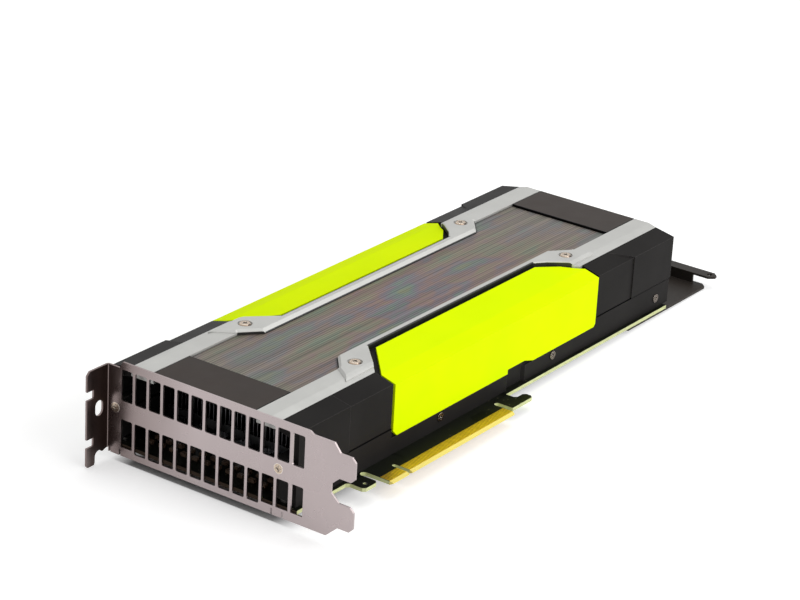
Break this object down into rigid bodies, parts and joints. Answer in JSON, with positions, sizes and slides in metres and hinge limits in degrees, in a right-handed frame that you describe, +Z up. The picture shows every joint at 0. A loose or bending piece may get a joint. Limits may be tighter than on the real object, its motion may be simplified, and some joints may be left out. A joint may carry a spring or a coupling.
{
  "type": "passive accelerator card",
  "caption": "Long dual-slot accelerator card with a vented end bracket, boxed passive cooler with bright side accents, gold edge connector and a rear support extender.",
  "frame": {"origin": "centre of the card's bounding box on the surface it rests on", "axes": "+X from the bracket to the rear of the card, +Z up on the component side, -Y toward the edge connector"},
  "size_m": [0.3192, 0.1254, 0.0436],
  "materials": {
    "nickel_plate": "smooth bright nickel plating",
    "screw_metal": "pale gold passivated",
    "dark_screw": "dark zinc",
    "board_mask": "dark solder mask, pale cut edges",
    "gold_contact": "gold plating",
    "package_board": "dark green substrate",
    "die_glass": "polished silicon",
    "stiffener_metal": "satin",
    "chip_plastic": "fine matte moulding",
    "pad_rubber": "soft grey pad",
    "coil_block": "pressed iron powder",
    "can_metal": "bright can",
    "ceramic_chip": "fired ceramic",
    "socket_plastic": "moulded",
    "pin_metal": "plated",
    "frame_metal": "black satin powder coat",
    "sink_metal": "milled",
    "brushed_sheet": "brushed lengthwise with a faint colour play",
    "cover_black": "black satin",
    "rail_silver": "fine matte silver",
    "panel_dark": "dark brown-black satin",
    "accent_lime": "bright yellow-green",
    "brace_metal": "satin",
    "extender_metal": "brown-black powder coat"
  },
  "bodies": {
    "root": {"io_bracket": "nickel_plate", "bracket_screws": "screw_metal", "tab_screws": "dark_screw", "circuit_board": "board_mask", "edge_contacts": "gold_contact", "processor_package": "package_board", "processor_die": "die_glass", "package_stiffener": "stiffener_metal", "memory_chips": "chip_plastic", "thermal_pads": "pad_rubber", "power_coils": "coil_block", "power_stages": "chip_plastic", "can_capacitors": "can_metal", "small_capacitors": "ceramic_chip", "controller_chip": "chip_plastic", "power_socket": "socket_plastic", "socket_pins": "pin_metal", "base_frame": "frame_metal", "heatsink_base": "sink_metal", "heatsink_fins": "sink_metal", "fin_top_sheet": "brushed_sheet", "cover": "cover_black", "rail_right": "rail_silver", "rail_left": "rail_silver", "front_panel": "panel_dark", "rear_panel": "panel_dark", "accent_right": "accent_lime", "accent_left": "accent_lime", "rail_screws": "screw_metal", "side_screws": "screw_metal", "back_brace": "brace_metal", "brace_screws": "dark_screw", "frame_screws": "dark_screw", "rear_extender": "extender_metal", "extender_screws": "dark_screw"}
  },
  "joints": []
}
